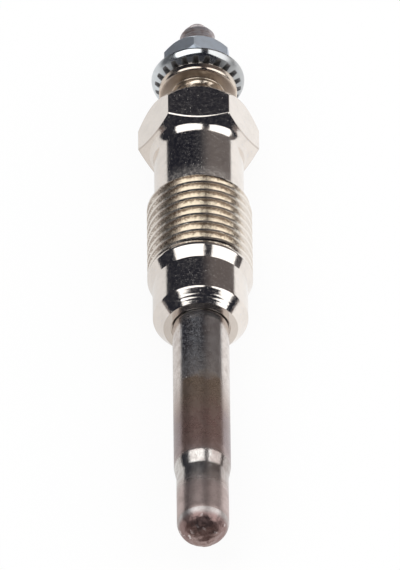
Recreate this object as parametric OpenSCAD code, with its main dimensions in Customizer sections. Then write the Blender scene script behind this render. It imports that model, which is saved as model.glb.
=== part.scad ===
// Diesel glow plug, lying on one flat of its hexagon and on the crest of its thread.
// All pieces are turned about one axis. A place along it is called s: s is 0 at the end
// face of the conical seat, grows towards the terminal and is negative along the glow tube.
// A profile is a list of [radius, s] points. lay() puts the axis along +Y, tip towards -Y.

/* [Body] */
// Diameter of the conical seat at its small end
seat_end_d = 8.3; // [7.6:0.1:9.4]
// Length of the conical seat along the axis
seat_len = 1.5; // [0.8:0.1:3]
// Rounding between the seat and the plain shank
seat_edge_r = 0.4; // [0.1:0.05:0.6]
// Diameter of the plain shank between the seat and the thread
lower_d = 10.7; // [10:0.1:11.4]
// Length of that shank
lower_len = 4.7; // [3:0.1:9]
// Length of the taper where the thread runs out
runout_len = 1.3; // [0.8:0.1:2.5]
// Major diameter of the fixing thread
thread_d = 11.85; // [11.6:0.05:14]
// Length of the fixing thread
thread_len = 11; // [6:0.5:16]
// Length of the chamfer at the thread's upper end
thread_end_len = 0.7; // [0.3:0.1:1.2]
// Diameter of the shank between the thread and the hexagon
shank_d = 10.1; // [9.4:0.1:10.9]
// Length of that shank
shank_len = 8.9; // [5:0.1:20]
// Length of the fillet between that shank and the hexagon, which flattens towards the shank
shank_fillet_len = 1.2; // [0.4:0.1:2]
// Hexagon, across its flats
hex_af = 11.85; // [11.7:0.05:14]
// Diameter to which the hexagon's corners are turned down
hex_corner_d = 13.55; // [12.6:0.05:13.6]
// Length of the hexagon
hex_len = 4.9; // [3.5:0.1:8]
// Chamfer at the hexagon's corners, on the thread's side
hex_near_chamfer = 0.5; // [0.1:0.1:1]
// Chamfer at the hexagon's corners, on the terminal's side
hex_far_chamfer = 1.35; // [0.3:0.05:1.5]
// Gap round the glow tube at the mouth of the body's bore
mouth_gap = 0.12; // [0.05:0.01:0.3]
// Depth of that gap
mouth_len = 1; // [0.5:0.1:3]

/* [Glow tube] */
// Outer diameter of the glow tube, which is also the bore that grips it
tube_d = 6.35; // [6.2:0.05:6.6]
// Wall of the glow tube
tube_wall = 0.65; // [0.5:0.05:0.75]
// Length of the glow tube that the body grips
tube_grip = 20; // [12:0.5:21]
// Length of the glow tube from the seat's end face to its taper
tube_reach = 21.4; // [16:0.1:32]
// Length of the taper down to the tip
taper_len = 1.6; // [0.8:0.1:3]
// Diameter of the tip
tip_d = 5.8; // [5.4:0.05:6]
// Wall of the tip
tip_wall = 0.6; // [0.4:0.05:0.7]
// Length of the tip, with its round end
tip_len = 9.2; // [7.5:0.1:14]
// Radius of the tip's round end
tip_round_r = 2.7; // [1.5:0.05:2.8]
// Thickness of the closed end
tip_end_wall = 1.5; // [0.8:0.1:2]
// Chamfer round the inside of the closed end
tip_in_chamfer = 0.5; // [0.2:0.05:0.55]

/* [Heater] */
// Diameter of both coils at the middle of their wire
coil_d = 2.9; // [2.7:0.05:3]
// Wire of the heating coil
heating_wire_d = 0.4; // [0.25:0.05:0.45]
// Pitch of the heating coil
heating_pitch = 0.9; // [0.7:0.05:1.4]
// Length of the heating coil along the axis
heating_len = 8.6; // [6:0.1:11]
// Wire of the control coil
control_wire_d = 0.45; // [0.3:0.05:0.5]
// Pitch of the control coil
control_pitch = 1.1; // [0.7:0.05:1.6]
// Clearance round the coils in the powder, and inside them on the stud's spigot
coil_gap = 0.03; // [0.01:0.01:0.06]
// Length of the rubber seal in the glow tube's open end
tube_seal_len = 3; // [1.5:0.1:6]

/* [Terminal stud] */
// Diameter of the stud inside the glow tube
stud_inner_d = 3.3; // [2.9:0.05:3.6]
// Depth of the stud's shoulder past the seat's end face
stud_depth = 6; // [2:0.1:9]
// Length of the spigot that carries the coil
spigot_len = 2; // [1:0.1:4]
// Major diameter of the terminal thread, and of the stud below it
stud_d = 4; // [3.7:0.05:4.2]
// Pitch of the terminal thread
stud_pitch = 0.7; // [0.5:0.05:0.8]
// Gap round the stud in the body
stud_gap = 0.5; // [0.2:0.05:0.6]
// Length of stud that stands out of the terminal nut
stud_free = 4.3; // [2:0.1:10]
// Length of the cone at the stud's end
stud_point_len = 1.3; // [0.3:0.1:1.8]
// Diameter of the stud's end face
stud_end_d = 2.1; // [1.6:0.1:3.2]

/* [Insulation] */
// Wire of the seal ring before it is squeezed
seal_wire_d = 1.78; // [1.7:0.02:2]
// Squeeze of the seal ring on each side
seal_squeeze = 0.09; // [0.04:0.01:0.15]
// Depth of the body's counterbore
counterbore_len = 6; // [4:0.1:7]
// Diameter of the insulating bush's collar
bush_d = 8.6; // [8:0.1:10]
// Thickness of that collar
bush_collar = 1.5; // [0.8:0.1:3]
// Clearance of the bush on the stud and in the counterbore
bush_gap = 0.1; // [0.04:0.02:0.2]

/* [Round nut] */
// Diameter of the round nut's hub
hub_d = 6; // [5:0.1:7.4]
// Length of the hub
hub_len = 2.7; // [1.5:0.1:4]
// Diameter of the round nut's flange
flange_d = 8.85; // [8.6:0.05:9.4]
// Thickness of the flange
flange_len = 1; // [0.8:0.1:2]
// Rounding of the flange's rim on the hub's side
flange_round_r = 0.5; // [0.1:0.05:0.6]
// Rounding of the flange's rim under the washer
flange_edge_r = 0.15; // [0.05:0.05:0.2]
// Fillet between the hub and the flange
hub_fillet_r = 0.2; // [0.1:0.05:0.5]

/* [Lock washer] */
// Diameter of the washer at its rim
washer_d = 10.5; // [10.3:0.1:11.4]
// Height of the dished washer
washer_len = 2.8; // [2.6:0.1:3.2]
// Height of the rim's widest circle above the teeth
rim_height = 1.5; // [1.4:0.05:1.7]
// Radius of the washer's round outside below its widest circle
rim_round_r = 1.1; // [0.9:0.05:1.2]
// Turn of that rounding, from the widest circle towards the teeth
rim_turn = 45; // [35:1:50]
// Broken edge above the widest circle
rim_edge = 0.15; // [0.05:0.05:0.3]
// Outer diameter of the ring of teeth
teeth_outer_d = 7.8; // [7.4:0.1:8.2]
// Width of the teeth's tips across the ring
teeth_width = 0.3; // [0.2:0.05:0.5]
// Diameter of the flat on which the nut sits
washer_flat_d = 7.3; // [7:0.1:7.8]
// Thickness of the washer round its hole
washer_thick = 0.8; // [0.6:0.05:1]
// Number of teeth
teeth = 22; // [12:1:30]
// Turn of the ring of teeth
teeth_turn = 4; // [0:1:30]
// Depth of the gaps between the teeth
tooth_depth = 0.65; // [0.3:0.05:0.8]
// Share of the pitch that a gap takes at the teeth's tips
tooth_gap_share = 0.8; // [0.4:0.02:0.84]
// Share of a gap that its sloping flank takes
tooth_slope_share = 0.35; // [0.2:0.05:0.5]

/* [Terminal nut] */
// Terminal nut, across its flats
nut_af = 7.2; // [6.8:0.1:8]
// Height of the terminal nut
nut_len = 2.4; // [2.2:0.1:5]
// Chamfer at the nut's corners, on the washer's side
nut_chamfer = 0.35; // [0.1:0.05:0.6]
// Chamfer at the nut's corners, on the stud's side
nut_far_chamfer = 0.75; // [0.1:0.05:1]
// Turn of the nut from a corner at the side
nut_turn = 24; // [0:1:60]
// Outer diameter of the collar that holds the washer on the nut
collar_d = 5.4; // [5:0.1:5.6]
// Clearance of the washer on that collar
collar_gap = 0.1; // [0.04:0.02:0.2]
// Width of the collar's swaged lip past the washer's hole
collar_lip = 0.25; // [0.15:0.05:0.35]
// Thickness of that lip
collar_lip_len = 0.35; // [0.2:0.05:0.5]

/* [Hidden] */
$fn = 96;

// How far a cutting shape stands past the face that it cuts
over = 1;
// Steps in a rounded stretch of a profile
arc_steps = 8;
// Share of the step from the shank up to the hexagon's flats that the fillet takes
fillet_share = 0.92;
// Sides of a coil's wire, and rings in one turn
wire_sides = 6;
turn_rings = 20;
// A metric thread's depth from its crest to its pitch diameter, as a share of its pitch
pitch_depth_share = 3 / 8 * cos(30);

// Places along the axis
lower_s = seat_len;
runout_s = lower_s + lower_len;
thread_s = runout_s + runout_len;
shank_s = thread_s + thread_len;
hex_s = shank_s + shank_len;
bush_s = hex_s + hex_len;
hub_s = bush_s + bush_collar;
flange_s = hub_s + hub_len;
washer_s = flange_s + flange_len;
nut_s = washer_s + washer_len;
lip_s = nut_s - washer_thick;
nut_top_s = nut_s + nut_len;
stud_end_s = nut_top_s + stud_free;
counterbore_s = bush_s - counterbore_len;
taper_s = -tube_reach;
tip_s = taper_s - taper_len;
end_s = tip_s - tip_len;
end_in_s = end_s + tip_end_wall;
coil_joint_s = end_in_s + heating_len;
spigot_s = -stud_depth - spigot_len;
seal_s = tube_grip - tube_seal_len;

// Radii that pieces share
tube_r = tube_d / 2;
tube_in_r = tube_r - tube_wall;
tip_r = tip_d / 2;
tip_in_r = tip_r - tip_wall;
coil_r = coil_d / 2;
widest_wire_r = max(heating_wire_d, control_wire_d) / 2;
core_r = coil_r - widest_wire_r - coil_gap;
channel_r = coil_r + widest_wire_r + coil_gap;
spigot_r = coil_r - control_wire_d / 2 - coil_gap;
stud_r = stud_d / 2;
engaged_r = stud_r - pitch_depth_share * stud_pitch;
counterbore_r = stud_r + seal_wire_d - 2 * seal_squeeze;
collar_r = collar_d / 2;
washer_hole_r = collar_r + collar_gap;
lip_r = washer_hole_r + collar_lip;
teeth_inner_r = teeth_outer_d / 2 - teeth_width;
nut_across_corners = nut_af / cos(30);
fillet_height = fillet_share * (hex_af - shank_d) / 2;

// The plug lies on the wider of its hexagon and its thread, with its middle at the origin
axis_height = max(hex_af, thread_d) / 2;
middle_s = (stud_end_s + end_s) / 2;

// Points on an ellipse about a centre, from one angle to another
function ellipse(centre, across, along, from, to) =
    [for (i = [0:arc_steps])
        let (a = from + (to - from) * i / arc_steps)
        centre + [across * cos(a), along * sin(a)]];

// Points on an arc about a centre, from one angle to another
function arc(centre, r, from, to) = ellipse(centre, r, r, from, to);

// The rounding of the corner between two straight stretches of a profile
function rounded(before, corner, after, r) =
    let (u = (before - corner) / norm(before - corner),
         v = (after - corner) / norm(after - corner),
         half = acos(u * v) / 2,
         centre = corner + (u + v) / norm(u + v) * r / sin(half),
         first = corner + u * r / tan(half) - centre,
         last = corner + v * r / tan(half) - centre,
         from = atan2(first.y, first.x),
         turn = atan2(last.y, last.x) - from,
         short_turn = turn > 180 ? turn - 360 : turn < -180 ? turn + 360 : turn)
    arc(centre, r, from, from + short_turn);

module lay() {
    translate([0, -middle_s, axis_height]) rotate([-90, 0, 0]) children();
}

module turned(profile) {
    rotate_extrude() polygon(profile);
}

// A tube between two radii
module sleeve(outer_r, inner_r, from_s, to_s) {
    turned([[inner_r, from_s], [outer_r, from_s], [outer_r, to_s], [inner_r, to_s]]);
}

// A hexagonal prism whose corners are turned down and chamfered at both ends
module hexagon(af, corner_r, from_s, to_s, near_chamfer, far_chamfer) {
    flat_r = af / 2;
    intersection() {
        translate([0, 0, from_s]) cylinder(d = af / cos(30), h = to_s - from_s, $fn = 6);
        turned([[0, from_s], [flat_r, from_s], [corner_r, from_s + near_chamfer],
                [corner_r, to_s - far_chamfer], [flat_r, to_s], [0, to_s]]);
    }
}

module body_outside() {
    seat_edge = [lower_d / 2, lower_s];
    seat_foot = [seat_end_d / 2, 0];
    lower_top = [lower_d / 2, runout_s];
    fillet_top_r = shank_d / 2 + fillet_height;
    turned(concat(
        [[0, 0], seat_foot],
        rounded(seat_foot, seat_edge, lower_top, seat_edge_r),
        [lower_top, [thread_d / 2, thread_s], [thread_d / 2, shank_s],
         [shank_d / 2, shank_s + thread_end_len]],
        ellipse([fillet_top_r, hex_s - shank_fillet_len], fillet_height, shank_fillet_len,
                180, 90),
        [[fillet_top_r, hex_s + hex_len / 2], [0, hex_s + hex_len / 2]]));
    hexagon(hex_af, hex_corner_d / 2, hex_s, bush_s, hex_near_chamfer, hex_far_chamfer);
}

module plug_body() {
    color("lightgray") lay() difference() {
        body_outside();
        turned([[0, -over], [tube_r + mouth_gap, -over], [tube_r + mouth_gap, mouth_len],
                [tube_r, mouth_len], [tube_r, tube_grip], [stud_r + stud_gap, tube_grip],
                [stud_r + stud_gap, counterbore_s], [counterbore_r, counterbore_s],
                [counterbore_r, bush_s + over], [0, bush_s + over]]);
    }
}

module glow_tube() {
    nose_r = tip_r - tip_round_r;
    color("dimgray") lay() turned(concat(
        [[tube_in_r, tube_grip], [tube_r, tube_grip], [tube_r, taper_s], [tip_r, tip_s]],
        arc([nose_r, end_s + tip_round_r], tip_round_r, 0, -90),
        [[0, end_s], [0, end_in_s], [tip_in_r - tip_in_chamfer, end_in_s],
         [tip_in_r, end_in_s + tip_in_chamfer], [tip_in_r, tip_s], [tube_in_r, taper_s]]));
}

// One ring of a coil's wire: it lies in the plane through the axis at that angle
function wire_ring(wire_r, a, s) =
    [for (k = [0:wire_sides - 1])
        let (b = 360 * k / wire_sides, r = coil_r + wire_r * cos(b))
        [r * cos(a), r * sin(a), s + wire_r * sin(b)]];

// A coil of wire that winds up from one place to another
module coil(wire_d, pitch, from_s, to_s, from_angle) {
    turns = (to_s - from_s) / pitch;
    rings = ceil(turns * turn_rings);
    points = [for (i = [0:rings])
        each wire_ring(wire_d / 2, from_angle + 360 * turns * i / rings,
                       from_s + (to_s - from_s) * i / rings)];
    sides = [for (i = [0:rings - 1]) for (k = [0:wire_sides - 1])
        let (next = (k + 1) % wire_sides, low = i * wire_sides, high = low + wire_sides)
        [low + k, high + k, high + next, low + next]];
    ends = [[for (k = [0:wire_sides - 1]) k],
            [for (k = [wire_sides - 1:-1:0]) rings * wire_sides + k]];
    polyhedron(points, concat(sides, ends));
}

// The heating coil stands on the tip's closed end, and the control coil goes on from it
heating_from_s = end_in_s + heating_wire_d / 2;
heating_turns = (coil_joint_s - heating_from_s) / heating_pitch;

module heating_coil() {
    color("goldenrod") lay()
        coil(heating_wire_d, heating_pitch, heating_from_s, coil_joint_s, 0);
}

module control_coil() {
    color("darkgoldenrod") lay()
        coil(control_wire_d, control_pitch, coil_joint_s, -stud_depth - control_wire_d / 2,
             360 * heating_turns);
}

// Pressed powder round the coils and the stud, and a core inside the coils
module magnesia_filling() {
    color("whitesmoke") lay() {
        turned([[channel_r, end_in_s], [tip_in_r - tip_in_chamfer, end_in_s],
                [tip_in_r, end_in_s + tip_in_chamfer], [tip_in_r, tip_s],
                [tube_in_r, taper_s], [tube_in_r, seal_s], [stud_inner_d / 2, seal_s],
                [stud_inner_d / 2, -stud_depth], [channel_r, -stud_depth]]);
        translate([0, 0, end_in_s]) cylinder(r = core_r, h = spigot_s - end_in_s);
    }
}

module tube_seal() {
    color("saddlebrown") lay() sleeve(tube_in_r, stud_inner_d / 2, seal_s, tube_grip);
}

module terminal_stud() {
    color("slategray") lay() turned([
        [0, spigot_s], [spigot_r, spigot_s], [spigot_r, -stud_depth],
        [stud_inner_d / 2, -stud_depth], [stud_inner_d / 2, tube_grip], [stud_r, tube_grip],
        [stud_r, hub_s], [engaged_r, hub_s], [engaged_r, nut_top_s], [stud_r, nut_top_s],
        [stud_r, stud_end_s - stud_point_len], [stud_end_d / 2, stud_end_s],
        [0, stud_end_s]]);
}

// A round rubber ring, squeezed flat where it meets the stud and the counterbore
module seal_ring() {
    color("black") lay() rotate_extrude() intersection() {
        translate([(stud_r + counterbore_r) / 2, counterbore_s + seal_wire_d / 2])
            circle(d = seal_wire_d);
        translate([stud_r, counterbore_s]) square([counterbore_r - stud_r, seal_wire_d]);
    }
}

module insulating_bush() {
    neck_r = counterbore_r - bush_gap;
    hole_r = stud_r + bush_gap;
    color("darkslategray") lay() turned([
        [hole_r, counterbore_s + seal_wire_d], [neck_r, counterbore_s + seal_wire_d],
        [neck_r, bush_s], [bush_d / 2, bush_s], [bush_d / 2, hub_s], [hole_r, hub_s]]);
}

module round_nut() {
    flange_r = flange_d / 2;
    hub_r = hub_d / 2;
    near_rim = [flange_r, flange_s];
    far_rim = [flange_r, washer_s];
    color("tan") lay() turned(concat(
        [[engaged_r, hub_s], [hub_r, hub_s]],
        arc([hub_r + hub_fillet_r, flange_s - hub_fillet_r], hub_fillet_r, 180, 90),
        rounded([hub_r, flange_s], near_rim, far_rim, flange_round_r),
        rounded(near_rim, far_rim, [hub_r, washer_s], flange_edge_r),
        [[engaged_r, washer_s]]));
}

// The gap between two teeth, steep on one flank and sloping on the other, that is as wide as
// the gap where it crosses the teeth's tips
module tooth_gap() {
    width = tooth_gap_share * PI * teeth_outer_d / teeth;
    lean = tooth_depth / 4;
    slope = tooth_slope_share * width;
    translate([teeth_inner_r - over, 0, washer_s]) rotate([90, 0, 90])
        linear_extrude(washer_d / 2)
            polygon([[width / 2 + lean, -tooth_depth], [width / 2 - lean, tooth_depth],
                     [slope - width / 2, tooth_depth], [-slope - width / 2, -tooth_depth]]);
}

// A thick dished washer: its outside is round, and teeth stand on the side that grips
module lock_washer() {
    rim_centre = [washer_d / 2 - rim_round_r, washer_s + rim_height];
    color("lightsteelblue") lay() difference() {
        turned(concat(
            [[washer_hole_r, lip_s], [lip_r + collar_gap, lip_s],
             [teeth_inner_r, washer_s], [teeth_outer_d / 2, washer_s]],
            arc(rim_centre, rim_round_r, -rim_turn, 0),
            [[washer_d / 2 - rim_edge, washer_s + rim_height + rim_edge],
             [washer_flat_d / 2, nut_s], [washer_hole_r, nut_s]]));
        for (i = [0:teeth - 1]) rotate(teeth_turn + 360 * i / teeth) tooth_gap();
    }
}

// The nut's collar goes through the washer, and its lip is swaged out behind it
module terminal_nut() {
    color("steelblue") lay() difference() {
        union() {
            rotate(nut_turn) hexagon(nut_af, nut_across_corners / 2, nut_s, nut_top_s,
                                     nut_chamfer, nut_far_chamfer);
            turned([[0, lip_s - collar_lip_len], [collar_r, lip_s - collar_lip_len],
                    [lip_r, lip_s], [collar_r, lip_s], [collar_r, nut_s + nut_chamfer],
                    [0, nut_s + nut_chamfer]]);
        }
        translate([0, 0, washer_s]) cylinder(r = engaged_r, h = nut_top_s - washer_s + over);
    }
}

plug_body();
glow_tube();
heating_coil();
control_coil();
magnesia_filling();
tube_seal();
terminal_stud();
seal_ring();
insulating_bush();
round_nut();
lock_washer();
terminal_nut();
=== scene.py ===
"""Looks of a diesel glow plug that lies on a white table.

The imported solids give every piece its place. The pieces that show are made again here as smooth
turned surfaces with their threads, broken edges and finishes. A place along the plug's axis is
counted from the end face of the conical seat towards the terminal, and an angle round the axis
from straight up towards +X. All lengths are in metres.
"""

import math

import bpy
import numpy as np
from bpy.props import FloatProperty, FloatVectorProperty, IntProperty, PointerProperty
from bpy.types import Operator, Panel, PropertyGroup
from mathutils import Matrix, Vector


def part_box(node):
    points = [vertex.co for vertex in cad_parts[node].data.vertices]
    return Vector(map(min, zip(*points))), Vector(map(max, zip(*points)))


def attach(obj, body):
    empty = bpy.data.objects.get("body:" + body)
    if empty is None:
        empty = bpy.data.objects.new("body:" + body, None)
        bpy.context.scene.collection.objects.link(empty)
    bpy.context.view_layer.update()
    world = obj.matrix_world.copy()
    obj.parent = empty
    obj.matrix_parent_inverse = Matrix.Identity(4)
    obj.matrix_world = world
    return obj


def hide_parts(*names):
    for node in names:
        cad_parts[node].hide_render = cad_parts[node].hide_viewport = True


bl_info = {
    "name": "Glow plug looks",
    "version": (1, 0, 0),
    "blender": (4, 5, 0),
    "location": "3D View > Sidebar > Glow plug",
    "description": "Turned surfaces, threads and metal finishes for a diesel glow plug",
    "category": "Object",
}

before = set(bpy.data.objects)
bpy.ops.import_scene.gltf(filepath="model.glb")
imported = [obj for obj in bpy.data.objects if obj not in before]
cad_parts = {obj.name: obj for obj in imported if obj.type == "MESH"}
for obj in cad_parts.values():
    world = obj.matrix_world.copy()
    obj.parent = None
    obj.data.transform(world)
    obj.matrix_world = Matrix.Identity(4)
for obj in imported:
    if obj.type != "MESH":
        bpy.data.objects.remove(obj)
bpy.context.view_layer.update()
MM = 0.001
SEAT_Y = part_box("plug_body")[0].y
AXIS_Z = sum(corner.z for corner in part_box("glow_tube")) / 2


def reach(node):
    """Where a node of the frame starts and ends along the axis, and half its width."""
    low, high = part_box(node)
    return low.y - SEAT_Y, high.y - SEAT_Y, (high.x - low.x) / 2


BODY_END = reach("plug_body")[1]
TIP_END, TUBE_TOP, TUBE_R = reach("glow_tube")
STUD_FOOT, STUD_END, STUD_R = reach("terminal_stud")
BUSH_FOOT, HUB_START, BUSH_R = reach("insulating_bush")
WASHER_START, NUT_START, WASHER_R = reach("lock_washer")
NUT_FOOT, NUT_END, _ = reach("terminal_nut")
FLANGE_R = reach("round_nut")[2]


def length(mm, name, text):
    """A length that a user may change, given here in millimetres."""
    return FloatProperty(name=name, description=text, default=mm * MM, unit="LENGTH", precision=5)


def share(value, name, text):
    """A plain number from 0 to 1 that a user may change."""
    return FloatProperty(name=name, description=text, default=value, min=0, max=1, subtype="FACTOR")


def colour(rgb, name, text):
    """A colour that a user may change."""
    return FloatVectorProperty(name=name, description=text, default=rgb, size=3, min=0, max=1,
                               subtype="COLOR")


def angle(degrees, name, text):
    """An angle that a user may change, given here in degrees."""
    return FloatProperty(name=name, description=text, default=math.radians(degrees), subtype="ANGLE")


class BodySizes(PropertyGroup):
    """The turned body with its seat, thread and hexagon."""

    mouth_gap: length(0.12, "Mouth gap", "Gap round the tube at the mouth of the bore")
    mouth_depth: length(1.0, "Mouth depth", "Depth of that gap")
    seat_foot: length(8.3, "Seat foot", "Diameter of the conical seat at its small end")
    seat_length: length(1.5, "Seat length", "Length of the conical seat")
    seat_edge: length(0.4, "Seat edge", "Rounding between the seat and the plain shank")
    seat_ring: length(0.0055, "Seat rings", "Height of the turning rings on the seat")
    lower: length(10.7, "Lower shank", "Diameter of the plain shank below the thread")
    runout_start: length(6.2, "Run-out start", "Where the taper up to the thread starts")
    thread_start: length(7.5, "Thread start", "Where the full thread diameter starts")
    thread_end: length(18.3, "Thread end", "Where the full thread diameter ends")
    thread: length(11.85, "Thread", "Major diameter of the fixing thread")
    pitch: length(1.25, "Pitch", "Pitch of the fixing thread")
    nicks: length(0.008, "Nicks", "Depth of the nicks in the thread")
    crest_at: length(13.47, "Crest place", "A place where a crest passes straight up")
    shank_start: length(19.2, "Shank start", "Where the plain shank above the thread starts")
    shank: length(10.1, "Shank", "Diameter of the shank below the hexagon")
    hex_start: length(27.27, "Hexagon start", "Where the hexagon's near end lies")
    fillet: length(1.3, "Fillet", "Length of the fillet below the hexagon")
    flats: length(11.85, "Flats", "Hexagon across its flats")
    corners: length(13.64, "Corners", "Diameter to which the hexagon's corners are turned")
    near_edge: length(0.32, "Near edge", "Rounding of the hexagon's edges towards the thread")
    far_chamfer: length(1.35, "Far chamfer", "Chamfer of the hexagon's corners at the far end")
    counterbore: length(7.2, "Counterbore", "Diameter of the counterbore")
    counterbore_at: length(26.3, "Counterbore floor", "Where the counterbore ends")
    stud_bore: length(5.0, "Stud bore", "Diameter of the bore round the stud")
    plate: colour((0.86, 0.80, 0.745), "Plate", "Colour of the nickel plate")
    thread_plate: colour((0.85, 0.785, 0.685), "Thread plate", "Colour of the plate on the thread")


class TubeSizes(PropertyGroup):
    """The closed glow tube."""

    taper_start: length(-21.4, "Taper start", "Where the tube starts to narrow")
    tip_start: length(-23.0, "Tip start", "Where the narrow tip starts")
    tip: length(5.8, "Tip", "Diameter of the tip")
    tip_round: length(2.7, "Tip round", "Radius of the tip's round end")
    wall: length(0.65, "Wall", "Wall of the tube")
    tip_wall: length(0.6, "Tip wall", "Wall of the tip")
    end_wall: length(1.5, "End wall", "Thickness of the closed end")
    end_chamfer: length(0.5, "End chamfer", "Chamfer round the inside of the closed end")
    tint_edge: length(-10.7, "Tint edge", "Where the brown heat tint starts")
    weld_height: length(0.09, "Weld height", "Height of the weld's unevenness on the tip")
    alloy: colour((0.70, 0.68, 0.67), "Alloy", "Colour of the tube near the body")
    brown: colour((0.265, 0.168, 0.148), "Brown tint", "Heat tint in the middle of the tube")
    mauve: colour((0.57, 0.46, 0.435), "Mauve tint", "Heat tint at the tip")


class TerminalSizes(PropertyGroup):
    """The stud, the insulation, the round nut, the toothed washer and the hexagon nut."""

    spigot_end: length(-6.0, "Spigot end", "Where the stud's spigot ends")
    spigot: length(2.39, "Spigot", "Diameter of the spigot that carries the coil")
    inner_stud: length(3.3, "Inner stud", "Diameter of the stud inside the tube")
    engaged: length(3.545, "Engaged thread", "Diameter of the stud inside the nuts")
    stud_pitch: length(0.7, "Stud pitch", "Pitch of the terminal thread")
    stud_point: length(1.3, "Stud point", "Length of the cone at the stud's end")
    stud_end: length(2.1, "Stud end", "Diameter of the stud's end face")
    bush_neck: length(7.0, "Bush neck", "Diameter of the bush inside the body")
    bush_hole: length(4.2, "Bush hole", "Diameter of the bush's hole")
    hub: length(6.0, "Hub", "Diameter of the round nut's hub")
    flange_start: length(36.5, "Flange start", "Where the round nut's flange starts")
    hub_fillet: length(0.2, "Hub fillet", "Fillet between the hub and the flange")
    hub_dents: length(0.1, "Hub dents", "Depth of the shallow dents in the hub")
    rim_height: length(1.5, "Rim height", "Height of the washer's rim above its teeth")
    rim_round: length(1.1, "Rim round", "Radius of the washer's round outside")
    rim_turn: angle(45, "Rim turn", "Turn of that rounding towards the teeth")
    rim_edge: length(0.15, "Rim edge", "Broken edge above the washer's widest circle")
    teeth_outer: length(7.8, "Teeth outside", "Outer diameter of the washer's ring of teeth")
    teeth_width: length(0.3, "Teeth width", "Width of the teeth's tips across the ring")
    washer_flat: length(7.3, "Washer flat", "Diameter of the flat below the nut")
    washer_hole: length(5.6, "Washer hole", "Diameter of the washer's hole")
    washer_thick: length(0.8, "Washer thickness", "Thickness of the washer round its hole")
    lip_seat: length(6.3, "Lip seat", "Diameter of the flat that the nut's lip holds")
    teeth: IntProperty(name="Teeth", description="Number of the washer's teeth", default=22)
    teeth_turn: angle(94, "Teeth turn", "Angle of one gap between teeth from straight up")
    tooth_depth: length(0.65, "Tooth depth", "Depth of the gaps between the teeth")
    tooth_gap: share(0.8, "Tooth gap", "Share of the pitch that a gap takes")
    tooth_slope: share(0.35, "Tooth slope", "Share of a gap that its sloping flank takes")
    nut_flats: length(7.2, "Nut flats", "Hexagon nut across its flats")
    nut_chamfer: length(0.35, "Nut chamfer", "Chamfer of the nut's corners towards the washer")
    nut_far_chamfer: length(0.75, "Nut far chamfer", "Chamfer of the nut's corners towards the stud's end")
    nut_turn: angle(24, "Nut turn", "Angle of one of the nut's flats from straight up")
    collar: length(5.4, "Collar", "Diameter of the nut's collar in the washer")
    lip: length(6.1, "Lip", "Diameter of the collar's swaged lip")
    lip_length: length(0.35, "Lip length", "Thickness of that lip")
    zinc: colour((0.64, 0.70, 0.78), "Zinc", "Colour of the nut's zinc plate")
    warm_plate: colour((0.80, 0.70, 0.60), "Warm plate", "Colour of the round nut's nickel plate")
    stud_steel: colour((0.58, 0.55, 0.56), "Stud steel", "Colour of the stud")
    bush_plastic: colour((0.16, 0.11, 0.08), "Bush plastic", "Colour of the insulating bush")


class InnerLooks(PropertyGroup):
    """The sealed pieces inside the plug, which keep the frame's own solids."""

    coil_wire: colour((0.50, 0.46, 0.42), "Coil wire", "Colour of the heating wire")
    control_wire: colour((0.55, 0.51, 0.45), "Control wire", "Colour of the control wire")
    magnesia: colour((0.86, 0.85, 0.81), "Magnesia", "Colour of the pressed powder")
    rubber: colour((0.030, 0.030, 0.032), "Rubber", "Colour of the seals")


class StageSettings(PropertyGroup):
    """The table, the light and the camera."""

    table: colour((0.97, 0.97, 0.97), "Table", "Colour of the table")
    table_left: colour((0.80, 0.795, 0.79), "Table left", "Tone of the table's left side in shiny metal")
    shadow: share(0.09, "Shadow", "Share of the table's look that takes shadows")
    panel_light: FloatProperty(name="Panel light", description="Radiance of the two soft panels",
                               default=1.55, min=0)
    panel_height: length(600, "Panel height", "Distance of the panels from the plug")
    room_left: colour((0.011, 0.012, 0.020), "Room left", "Dark side of the room in reflections")
    room_right: colour((0.122, 0.106, 0.104), "Room right", "Lighter side of the room in reflections")
    flag: colour((0.175, 0.137, 0.13), "Flag", "Colour of the dark card before the plug")
    flag_reach: length(36, "Flag reach", "Distance of that card from the seat's end face")
    room_fill: colour((0.64, 0.64, 0.64), "Room fill", "Light from the room on matt surfaces")
    camera_distance: length(2000, "Camera distance", "Distance of the camera from the plug")
    camera_height: angle(46, "Camera height", "Angle of the camera above the table")
    camera_turn: angle(-0.48, "Camera turn", "Angle of the camera round the plug")
    view_height: length(63.8, "View height", "Height of the picture at the plug")


# Surfaces


def softened(corners, radius, steps=5):
    """An open profile with its inner corners rounded.

    Each inner corner becomes a parabola that leaves one straight side and reaches the other at the
    rounding's tangent length, or at two fifths of the shorter side, with the corner as its control
    point. One more point just outside each end keeps the straight stretches flat in the shading.
    The first axis runs along the profile, so a profile may differ from angle to angle.
    """
    points = np.asarray(corners, float)
    inner = points[1:-1]
    back, on = points[:-2] - inner, points[2:] - inner
    back_length = np.linalg.norm(back, axis=-1, keepdims=True)
    on_length = np.linalg.norm(on, axis=-1, keepdims=True)
    back, on = back / back_length, on / on_length
    cosine = np.clip((back * on).sum(-1, keepdims=True), -0.9999, 0.9999)
    radius = np.broadcast_to(radius, len(inner)).reshape((-1,) + (1,) * (points.ndim - 1))
    shorter = np.minimum(back_length, on_length)
    tangent = np.minimum(radius * np.sqrt((1 + cosine) / (1 - cosine)), 0.4 * shorter)
    guard = np.minimum(0.03 * MM, 0.06 * shorter)
    first, last = inner + back * tangent, inner + on * tangent
    t = np.linspace(0, 1, steps).reshape((1, -1) + (1,) * (points.ndim - 1))
    curve = ((1 - t) ** 2 * first[:, None] + 2 * t * (1 - t) * inner[:, None] + t ** 2 * last[:, None])
    curve = np.concatenate([(first + back * guard)[:, None], curve, (last + on * guard)[:, None]], axis=1)
    return np.concatenate([points[:1], curve.reshape((-1,) + points.shape[1:]), points[-1:]])


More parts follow.
